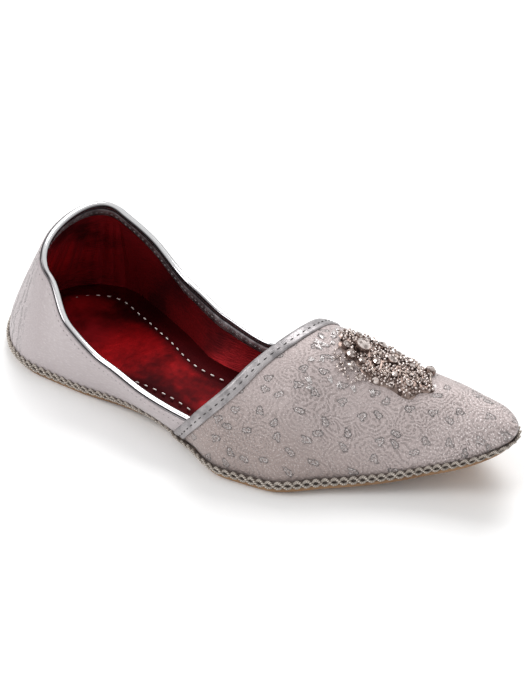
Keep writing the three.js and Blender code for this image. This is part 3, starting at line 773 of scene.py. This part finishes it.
lining = grid(columns=300, rows=26, place=lining_place)
toe_lining = grid(columns=90, rows=60, place=vamp_place(-WALL, folded=0.0))
lining_mesh = bpy.data.meshes.new("toe_lining")
toe_lining.to_mesh(lining_mesh)
toe_lining.free()
lining.from_mesh(lining_mesh)
bpy.data.meshes.remove(lining_mesh)
bmesh.ops.reverse_faces(lining, faces=lining.faces)
thicken(piece("lining_satin", lining, crimson_satin, "lining_satin", "upper"), LINING)

# Collar binding: a rolled edge of mirror-bright silver leather on a flat tape, folded over the
# topline and sewn through both faces of the wall with a row of small stitches.
ROLL_RADIUS = 0.00150
ROLL_AT = (0.00045, -0.5 * WALL)
TAPE_OUTSIDE = 0.0036
TAPE_INSIDE = 0.0052
TAPE_THICKNESS = 0.0007
roll_turns = np.radians(np.linspace(-35, 215, 15))
collar_section = np.array(
    [(-TAPE_OUTSIDE, 0.00005), (-TAPE_OUTSIDE + 0.0001, TAPE_THICKNESS),
     (-0.6 * TAPE_OUTSIDE, TAPE_THICKNESS + 0.0001), (-0.0012, 0.8 * TAPE_THICKNESS),
     (-0.0008, 0.00015)]
    + [(ROLL_AT[0] + ROLL_RADIUS * math.sin(turn), ROLL_AT[1] + 1.1 * ROLL_RADIUS * math.cos(turn))
       for turn in roll_turns]
    + [(-0.0008, -WALL - 0.00015), (-0.0012, -WALL - 0.8 * TAPE_THICKNESS),
       (-0.6 * TAPE_INSIDE, -WALL - TAPE_THICKNESS), (-TAPE_INSIDE + 0.0001, -WALL - TAPE_THICKNESS),
       (-TAPE_INSIDE, -WALL - 0.00005)]
)
COLLAR_END = 0.1325
collar_reach = float(around_at(COLLAR_END))


def collar_place(u, v):
    """Along the topline with u, from one end of the binding to the other, and round it with v."""
    up, offset = corners_of(collar_section, v)
    around = collar_reach * (2 * u - 1)
    points = wall(around, collar_height(around) + up, offset)
    return points, around * CLOTH_A_TURN, up


def binding_recipe(thread):
    """The roll shines like a mirror between two dark lines; the flat tape beyond them is duller. Along
    the roll's top a highlight is painted; the dark line across its round is painted shade, and the
    other, where roll and tape meet, is their dark seam with painted shade in its crease. up counts
    millimetres from the topline."""
    up = thread.coordinates("UV").axis("Y") * 1000.0
    rub = thread.coordinates("Object").noise(220.0, 4.0)
    roll = up.step(-0.6, -0.3)
    # edge is a painted highlight along the top of the roll; fold is no crease but a dark band painted
    # across the roll's round, painted shade; seam is the dark joint of roll and tape, darkened further
    # as painted shade in its crease.
    edge = up.step(1.55, 1.80)
    fold = 1 - (up - 1.10).maths("ABSOLUTE").step(0.18, 0.45)
    seam = 1 - (up + 0.75).maths("ABSOLUTE").step(0.25, 0.5)
    tape = rub.step(0.35, 0.65).tint((0.20, 0.18, 0.19), (0.42, 0.385, 0.40))
    colour = roll.tint(tape, (0.30, 0.285, 0.295))
    colour = edge.tint(colour, (0.86, 0.86, 0.87))
    colour = (fold * 0.92).tint(colour, (0.015, 0.012, 0.013))
    colour = (seam * 0.9).tint(colour, (0.04, 0.035, 0.04))
    rough = (rub * 0.25 + 0.10) * (1 - roll) + 0.20
    return {"Base Color": colour, "Roughness": rough, "Relief": (rub * (1 - roll), 0.00012)}


bright_silver = material("bright_silver", binding_recipe, {"Metallic": 0.9})
collar = grid(columns=420, rows=len(collar_section), place=collar_place, merged=True)
piece("collar_roll", collar, bright_silver, "silver_leather", "collar_binding")
grey_thread = material("grey_thread", thread_recipe((0.10, 0.09, 0.09), (0.22, 0.20, 0.20)),
                       {"Roughness": 0.7})
TAPE_STITCH = (0.0014, 0.0006)
TAPE_STITCH_SPACING = 0.0026
TAPE_FACE = TAPE_THICKNESS + 0.0001
TAPE_ROWS = [
    ("collar_stitches", 0.72 * TAPE_OUTSIDE, TAPE_FACE, 0.002),
    ("inner_stitches", 0.62 * TAPE_INSIDE, -WALL - TAPE_FACE, -0.005),
]
row_around = np.linspace(-0.97 * collar_reach, 0.97 * collar_reach, 1500)
for name, below, face, beyond in TAPE_ROWS:
    line = wall(row_around, collar_height(row_around) - below, face)
    points, directions, share = spaced(line, TAPE_STITCH_SPACING)
    near = np.interp(share, np.linspace(0, 1, len(row_around)), row_around)
    outward = wall(near, collar_height(near) - below, beyond) - points
    stitches(name, points, directions, outward, TAPE_STITCH, grey_thread,
             "silver_leather", "collar_binding")

# Vamp binding: a strip of grey-silver leather along the vamp's back edge, turned over that edge and
# sewn down its middle with dark stitches.
STRIP_WIDTH = 0.0055
STRIP_THICKNESS = 0.0009
STRIP_UNDER = VAMP_LAYER + 0.0001
strip_section = np.array([
    (STRIP_WIDTH, STRIP_UNDER), (STRIP_WIDTH - 0.0001, STRIP_UNDER + 0.0006),
    (0.85 * STRIP_WIDTH, STRIP_UNDER + STRIP_THICKNESS), (0.50 * STRIP_WIDTH, STRIP_UNDER + 0.0006),
    (0.15 * STRIP_WIDTH, STRIP_UNDER + STRIP_THICKNESS), (-0.0006, STRIP_UNDER + 0.0006),
    (-0.0010, STRIP_UNDER - 0.0004), (-0.0010, 0.0004), (-0.0003, 0.0002), (0, STRIP_UNDER),
])
STRIP_FROM = 0.095
LEATHER_A_TURN = 0.08


def strip_place(u, v):
    """Along the vamp's edge with u, over the ridge from the outer side to the inner, and round the
    strip with v."""
    ahead, offset = corners_of(strip_section, v)
    across = (2 * u - 1) * (1 - STRIP_FROM)
    up = 1 - np.abs(across)
    outer = across < 0
    first = throat_around(up, outer)
    around = around_at(middle_of(first) + ahead)
    points = wall(np.where(outer, -around, around), vamp_height(around, up), offset)
    return points, across * LEATHER_A_TURN, ahead


def silver_recipe(thread):
    """Silvered leather, rubbed grey and finely creased."""
    place = thread.coordinates("Object")
    rub = place.noise(180.0, 5.0)
    edges = {"feature": "DISTANCE_TO_EDGE"}
    crease = thread.node("ShaderNodeTexVoronoi", edges, {"Vector": place, "Scale": 420.0})
    crease = 1 - crease.step(0.0, 0.12)
    return {"Base Color": rub.step(0.35, 0.6).tint((0.25, 0.235, 0.24), (0.42, 0.395, 0.40)),
            "Roughness": rub * 0.25 + 0.26 + crease * 0.1,
            "Relief": (rub - crease * 0.3, 0.00012)}


grey_leather = material("grey_leather", silver_recipe, {"Metallic": 0.55})
strip = grid(columns=260, rows=len(strip_section), place=strip_place, merged=True)
piece("vamp_strip", strip, grey_leather, "silver_leather", "vamp_binding")
STRIP_STITCH = (0.0018, 0.0006)
STRIP_STITCH_SPACING = 0.0036
STRIP_STITCH_LIFT = 0.0007
STRIP_STITCH_REACH = 0.9
seam_across = np.linspace(-STRIP_STITCH_REACH, STRIP_STITCH_REACH, 1200)
seam_up = 1 - np.abs(seam_across)
seam_first = throat_around(seam_up, seam_across < 0)
seam_turn = around_at(middle_of(seam_first) + 0.5 * STRIP_WIDTH)
seam_height = vamp_height(seam_turn, seam_up)
seam_around = np.where(seam_across < 0, -seam_turn, seam_turn)
seam = wall(seam_around, seam_height, STRIP_UNDER + STRIP_STITCH_LIFT)
above = wall(seam_around, seam_height, STRIP_UNDER + STRIP_STITCH_LIFT + 0.002) - seam
points, directions, share = spaced(seam, STRIP_STITCH_SPACING)
nearest = np.rint(share * (len(seam) - 1)).astype(int)
dark_thread = material("dark_thread", thread_recipe((0.04, 0.035, 0.035), (0.09, 0.08, 0.08)),
                       {"Roughness": 0.7})
stitches("strip_stitches", points, directions, above[nearest], STRIP_STITCH, dark_thread,
         "silver_leather", "vamp_binding")

# Edge braid: two wavy cords of dull silver thread that cross in a zigzag, on a narrow tape painted
# dark, painted shade in the gaps between the cords. It covers the seam where the upper is sewn to the
# sole.
CORD_WIDTH = 0.00078
CORD_SWAY = 0.0017
CORD_GIRTH = 0.003
CORD_CROSSING = 0.0003
CORD_OFF = 0.0013
CORD_SIDES = 6
CORD_STEPS_A_PITCH = 8
ring_around = np.linspace(-2, 2, 8001)
ring_length = length_along(wall(ring_around, 0, cover_at(ring_around)))
braid_pitches = 2 * round(ring_length[-1] / BRAID_PITCH / 2)


def braid_core_place(u, v):
    """Round the shoe with u, from toe to toe, and round the tape's section with v."""
    core = np.array([(0.0002, 0.0001), (BRAID_HEIGHT - 0.0009, 0.0001),
                     (BRAID_HEIGHT - 0.0011, 0.0009), (0.0004, 0.0011)])
    height, offset = corners_of(core, v)
    around = np.interp(u * ring_length[-1], ring_length, ring_around)
    points = wall(around, height, cover_at(around) + offset)
    return points, around * LEATHER_A_TURN, height


def cord_place(lean):
    """Round the shoe with u and round the cord with v. The cords lean half a wave apart."""
    def place(u, v):
        phase = u * braid_pitches * math.pi + lean
        around = np.interp(u * ring_length[-1], ring_length, ring_around)
        turn = v * 2 * math.pi
        height = BRAID_HEIGHT / 2 + CORD_SWAY * np.sin(phase) + CORD_WIDTH * np.sin(turn)
        crossing = CORD_CROSSING * np.cos(phase)
        offset = cover_at(around) + CORD_OFF + crossing + 0.85 * CORD_WIDTH * np.cos(turn)
        return wall(around, height, offset), u * ring_length[-1], v * CORD_GIRTH
    return place


def cord_recipe(thread):
    """Plies that run slantwise round the cord, dulled in patches by dirt."""
    cloth = thread.coordinates("UV").times(1000.0, 1000.0, 1000.0)
    ply = ((cloth.axis("X") * 2.6 + cloth.axis("Y") * 2.1) * 3.14).maths("SINE")
    dirt = cloth.noise(0.35, 3.0)
    colour = (ply * 0.35 + dirt).step(0.2, 0.9).tint((0.34, 0.285, 0.245), (0.80, 0.735, 0.66))
    return {"Base Color": colour, "Roughness": dirt * 0.3 + 0.4, "Relief": (ply, 0.0002)}


silver_cord = material("silver_cord", cord_recipe, {"Metallic": 0.35})
# The tape's dark colour is painted shade, seen in the gaps between the cords.
painted_shade_tape = material("painted_shade_tape", thread_recipe((0.05, 0.036, 0.03), (0.11, 0.085, 0.07)),
                     {"Roughness": 0.8})
core = grid(columns=600, rows=4, place=braid_core_place, merged=True)
piece("braid_tape", core, painted_shade_tape, "silver_braid", "edge_braid")
for number, lean in enumerate((0, math.pi)):
    cord = grid(columns=braid_pitches * CORD_STEPS_A_PITCH, rows=CORD_SIDES, place=cord_place(lean),
                merged=True)
    piece(f"braid_cord_{number + 1}", cord, silver_cord, "silver_braid", "edge_braid")

# Ornament: beadwork on a stiff ground sewn to the vamp. A large clear stone stands in the middle of
# smaller set stones, seed beads and coiled wire. Places on it are shares of its half length and of
# its half width; a stone's third number is its radius, a coil's its turn in degrees.
ORNAMENT_AT = 0.76 * LENGTH
ORNAMENT_SWING = 0.004
ORNAMENT_LENGTH = 0.046
ORNAMENT_WIDTH = 0.023
ORNAMENT_SCALLOPS = 8
GROUND_THICKNESS = 0.0009
STONES = [
    (-0.49, -0.19, 0.0034), (-0.69, -0.58, 0.0019), (-0.53, -0.80, 0.0021), (-0.31, -0.69, 0.0016),
    (-0.10, -0.36, 0.0018), (-0.31, 0.60, 0.0021), (0.09, 0.12, 0.0021), (0.71, 0.72, 0.0022),
    (-0.72, 0.30, 0.0016), (0.02, 0.70, 0.0017), (0.42, 0.42, 0.0016), (0.30, -0.35, 0.0015),
]
SEQUINS = [
    (-0.17, -1.22), (0.10, -0.95), (0.60, -0.30), (0.36, -0.72), (-0.40, -1.12), (-0.86, -0.28),
    (0.80, 0.10), (-0.90, 0.22), (-0.05, 0.20), (0.28, 0.80), (-0.55, 0.70), (0.55, 0.10),
]
COILS = [
    (0.52, 0.48, 80), (0.44, 0.60, 70), (0.60, 0.36, 95), (0.40, -0.10, 35), (0.46, -0.02, 50),
    (0.50, -0.18, 20), (0.82, 0.38, 100), (0.88, 0.22, 120), (0.16, -0.60, 10), (0.20, -0.45, 30),
    (-0.22, -0.10, 60), (-0.16, 0.05, 75), (-0.78, 0.00, 110), (-0.62, 0.10, 95), (-0.20, 0.85, 20),
    (0.10, 0.45, 140), (-0.05, -0.75, 160), (0.70, -0.05, 150),
]
ornament_centre = float(swing_at(ORNAMENT_AT)) + ORNAMENT_SWING


def vamp_point(x, y, offset):
    """The point of the vamp that lies over the place x, y in plan."""
    x, y, offset = np.broadcast_arrays(np.asarray(x, float), np.asarray(y, float), offset)
    around = around_at(x) * np.where(y < swing_at(x), -1, 1)
    aside = np.abs(y - swing_at(x))
    height = search(np.zeros(x.shape), crown_at(x),
                    lambda up: np.abs(skin(around, up)[..., 1] - swing_at(x)) > aside)
    return wall(around, height, offset)


def ground_place(u, v):
    """Round the ground with u, and with v from its middle to its scalloped edge."""
    turn = 2 * math.pi * u
    reach = v * (1 + 0.07 * np.cos(ORNAMENT_SCALLOPS * turn))
    x = ORNAMENT_AT + ORNAMENT_LENGTH / 2 * reach * np.cos(turn)
    y = ornament_centre + ORNAMENT_WIDTH / 2 * reach * np.sin(turn)
    lift = VAMP_LAYER + GROUND_THICKNESS * (1 - smoothly(v, 0.9, 1.0))
    return vamp_point(x, y, lift), x, y


def stand(places, lift):
    """One matrix for each place on the ornament that stands a bead there, its Z off the cloth."""
    shares = np.array([place[:2] for place in places], float)
    x = ORNAMENT_AT + ORNAMENT_LENGTH / 2 * shares[:, 0]
    y = ornament_centre + ORNAMENT_WIDTH / 2 * shares[:, 1]
    points = vamp_point(x, y, VAMP_LAYER + lift)
    outward = vamp_point(x, y, VAMP_LAYER + lift + 0.001) - points
    return [Matrix.Translation(Vector(point)) @ Vector(out).to_track_quat("Z", "X").to_matrix().to_4x4()
            for point, out in zip(points, outward)]


def bead_recipe(dark, bright, scale, rough):
    """Pieces whose tone changes from one small cell to the next, partly at random and partly painted
    highlight and shade.
    """
    def recipe(thread):
        values = {"Vector": thread.coordinates("Object"), "Scale": scale}
        cell = thread.node("ShaderNodeTexVoronoi", {}, values, "Color")
        shade = thread.node("ShaderNodeSeparateColor", {}, {0: cell})
        return {"Base Color": shade.tint(dark, bright), "Roughness": shade * 0.15 + rough}
    return recipe


# Painted light on the beadwork: champagne patches the stones' facets and the sequins with painted
# highlights and painted shade; the dark silver of the ground and the settings is painted shade between
# the beads and under the stones; the seed beads differ in tone at random, their darkest and lightest
# also painted shade and painted highlights.
champagne = material(
    "champagne_stone",
    bead_recipe((0.12, 0.075, 0.06), (1.0, 0.89, 0.84), scale=850.0, rough=0.04),
    {"Metallic": 0.75, "Coat Weight": 0.5})
painted_shade_silver = material(
    "painted_shade_silver",
    bead_recipe((0.08, 0.052, 0.044), (0.42, 0.32, 0.28), scale=500.0, rough=0.25),
    {"Metallic": 0.9})
seed_glass = material(
    "seed_glass",
    bead_recipe((0.17, 0.115, 0.095), (1.0, 0.90, 0.86), scale=900.0, rough=0.10),
    {"Metallic": 0.7})
bead_ground = grid(columns=64, rows=10, place=ground_place, merged=True)
piece("ornament_ground", bead_ground, painted_shade_silver, "beadwork", "ornament")

stones, settings = bmesh.new(), bmesh.new()
for (_, _, radius), matrix in zip(STONES, stand(STONES, GROUND_THICKNESS)):
    rise = Matrix.Translation((0, 0, 0.42 * radius))
    bmesh.ops.create_cone(settings, cap_ends=True, segments=14, radius1=1.12 * radius,
                          radius2=1.02 * radius, depth=0.84 * radius, matrix=matrix @ rise)
    rise = Matrix.Translation((0, 0, 1.02 * radius))
    bmesh.ops.create_cone(stones, cap_ends=True, segments=8, radius1=0.98 * radius,
                          radius2=0.52 * radius, depth=0.40 * radius, matrix=matrix @ rise)
piece("ornament_stones", stones, champagne, "beadwork", "ornament", smooth=False)
piece("ornament_settings", settings, painted_shade_silver, "beadwork", "ornament", smooth=False)

BEAD_RADIUS = 0.00062
BEAD_SPACING = 0.00155
BEAD_ROWS = range(-13, 12)
BEAD_COLUMNS = range(-17, 18)
BEAD_SHIFT = 0.25
BEAD_HEAP = 0.0009
SKIRT_SIZE = (0.42, 0.62)
SKIRT_AT = (-0.38 / 0.42, -0.95 / 0.62)
SKIRT_SHARE = 0.75
chance = random.Random(7)
bead_places = []
for row in BEAD_ROWS:
    for column in BEAD_COLUMNS:
        x = BEAD_SPACING * (column + 0.5 * (row % 2) + chance.uniform(-BEAD_SHIFT, BEAD_SHIFT))
        y = BEAD_SPACING * (0.87 * row + chance.uniform(-BEAD_SHIFT, BEAD_SHIFT))
        ahead, across = x / (ORNAMENT_LENGTH / 2), y / (ORNAMENT_WIDTH / 2)
        scallop = 0.05 * math.cos(ORNAMENT_SCALLOPS * math.atan2(across, ahead))
        inside = math.hypot(ahead, across) < 0.98 + scallop
        skirt = math.dist((ahead / SKIRT_SIZE[0], across / SKIRT_SIZE[1]), SKIRT_AT) < 1
        clear = all(math.hypot(x - stone[0] * ORNAMENT_LENGTH / 2, y - stone[1] * ORNAMENT_WIDTH / 2)
                    > stone[2] + 0.6 * BEAD_RADIUS for stone in STONES)
        if (inside or (skirt and chance.random() < SKIRT_SHARE)) and clear:
            bead_places.append((ahead, across))
beads = bmesh.new()
for (ahead, across), matrix in zip(bead_places, stand(bead_places, 0)):
    on_ground = GROUND_THICKNESS if math.hypot(ahead, across) < 0.95 else 0
    rise = Matrix.Translation((0, 0, on_ground + 0.5 * BEAD_RADIUS + chance.uniform(0, BEAD_HEAP)))
    radius = BEAD_RADIUS * chance.uniform(0.85, 1.25)
    bmesh.ops.create_icosphere(beads, subdivisions=1, radius=radius, matrix=matrix @ rise)
piece("ornament_beads", beads, seed_glass, "beadwork", "ornament")

SEQUIN_RADIUS = 0.0017
SEQUIN_THICKNESS = 0.0005
SEQUIN_LIFT = 0.0009
SEQUIN_TILT = 0.3
SEQUIN_BEAD_RADIUS = 0.0006
sequins = bmesh.new()
for matrix in stand(SEQUINS, GROUND_THICKNESS + SEQUIN_LIFT):
    bmesh.ops.create_cone(sequins, cap_ends=True, segments=12, radius1=SEQUIN_RADIUS, radius2=0.0011,
                          depth=SEQUIN_THICKNESS, matrix=matrix @ Matrix.Rotation(SEQUIN_TILT, 4, "X"))
    bmesh.ops.create_icosphere(sequins, subdivisions=1, radius=SEQUIN_BEAD_RADIUS,
                               matrix=matrix @ Matrix.Translation((0, 0, SEQUIN_THICKNESS)))
piece("ornament_sequins", sequins, champagne, "beadwork", "ornament", smooth=False)


def coil_recipe(thread):
    """Light and dark painted in quick change along the wire: painted highlights and shade for its
    turns.
    """
    wave = thread.coordinates("Object").noise(2600.0, 1.0)
    return {"Base Color": wave.step(0.35, 0.65).tint((0.14, 0.095, 0.075), (0.86, 0.74, 0.67)),
            "Relief": (wave, 0.0003)}


coil_wire = material("coil_wire", coil_recipe, {"Metallic": 0.85, "Roughness": 0.25})
COIL_RADIUS = 0.00052
COIL_LENGTH = 0.0042
COIL_LIFT = 0.0013
coils = bmesh.new()
for (_, _, turn), matrix in zip(COILS, stand(COILS, GROUND_THICKNESS)):
    lying = Matrix.Rotation(math.radians(turn), 4, "Z") @ Matrix.Rotation(math.pi / 2, 4, "Y")
    lifted = Matrix.Translation((0, 0, COIL_LIFT)) @ lying
    bmesh.ops.create_cone(coils, cap_ends=True, segments=8, radius1=COIL_RADIUS, radius2=0.00042,
                          depth=COIL_LENGTH, matrix=matrix @ lifted)
piece("ornament_coils", coils, coil_wire, "beadwork", "ornament")

# Silver thread: long satin stitches in leaf shapes, worked straight on the brocade behind the beads
# and below them. Each leaf's row is its place, its turn in degrees and its length.
LEAVES = [
    (-1.05, -0.26, 60, 0.0042), (-1.00, -0.10, 85, 0.0038), (-0.97, -0.45, 35, 0.0036),
    (-1.08, -1.10, 20, 0.0050), (-1.02, -1.28, 5, 0.0046), (-0.95, -1.05, 35, 0.0040),
    (-0.90, -0.75, 100, 0.0034), (-1.12, -0.80, 150, 0.0034), (-0.84, -2.45, 25, 0.0044),
    (-0.78, -2.58, 55, 0.0036), (-0.55, -1.95, 10, 0.0036), (-0.40, -1.85, 165, 0.0034),
    (-0.15, -1.62, 15, 0.0034), (0.16, -1.30, 20, 0.0032), (1.00, 0.20, 110, 0.0030),
    (-0.95, 0.30, 120, 0.0036), (-0.88, 0.55, 100, 0.0034), (-1.10, 0.10, 70, 0.0030),
    (-0.85, -1.60, 140, 0.0030), (-0.98, -1.85, 60, 0.0028), (-0.70, -1.30, 80, 0.0030),
]
LEAF_SPREAD = 9
LEAF_STEP = (0.0004, 0.00055)
LEAF_RADIUS = 0.00032
LEAF_LIFT = 0.0002
leaves = bmesh.new()
for (_, _, turn, length), matrix in zip(LEAVES, stand(LEAVES, LEAF_LIFT)):
    for side in (-1, 0, 1):
        heading = Matrix.Rotation(math.radians(turn + LEAF_SPREAD * side), 4, "Z")
        shift = Matrix.Translation((LEAF_STEP[0] * abs(side), LEAF_STEP[1] * side, 0))
        shape = Matrix.Diagonal((length / 2, LEAF_RADIUS, LEAF_RADIUS, 1))
        bmesh.ops.create_uvsphere(leaves, u_segments=8, v_segments=5, radius=1,
                                  matrix=matrix @ heading @ shift @ shape)
silver_thread = material("silver_thread", thread_recipe((0.40, 0.36, 0.355), (0.92, 0.88, 0.87)),
                         {"Metallic": 0.6, "Roughness": 0.22})
piece("silver_leaves", leaves, silver_thread, "brocade", "upper")
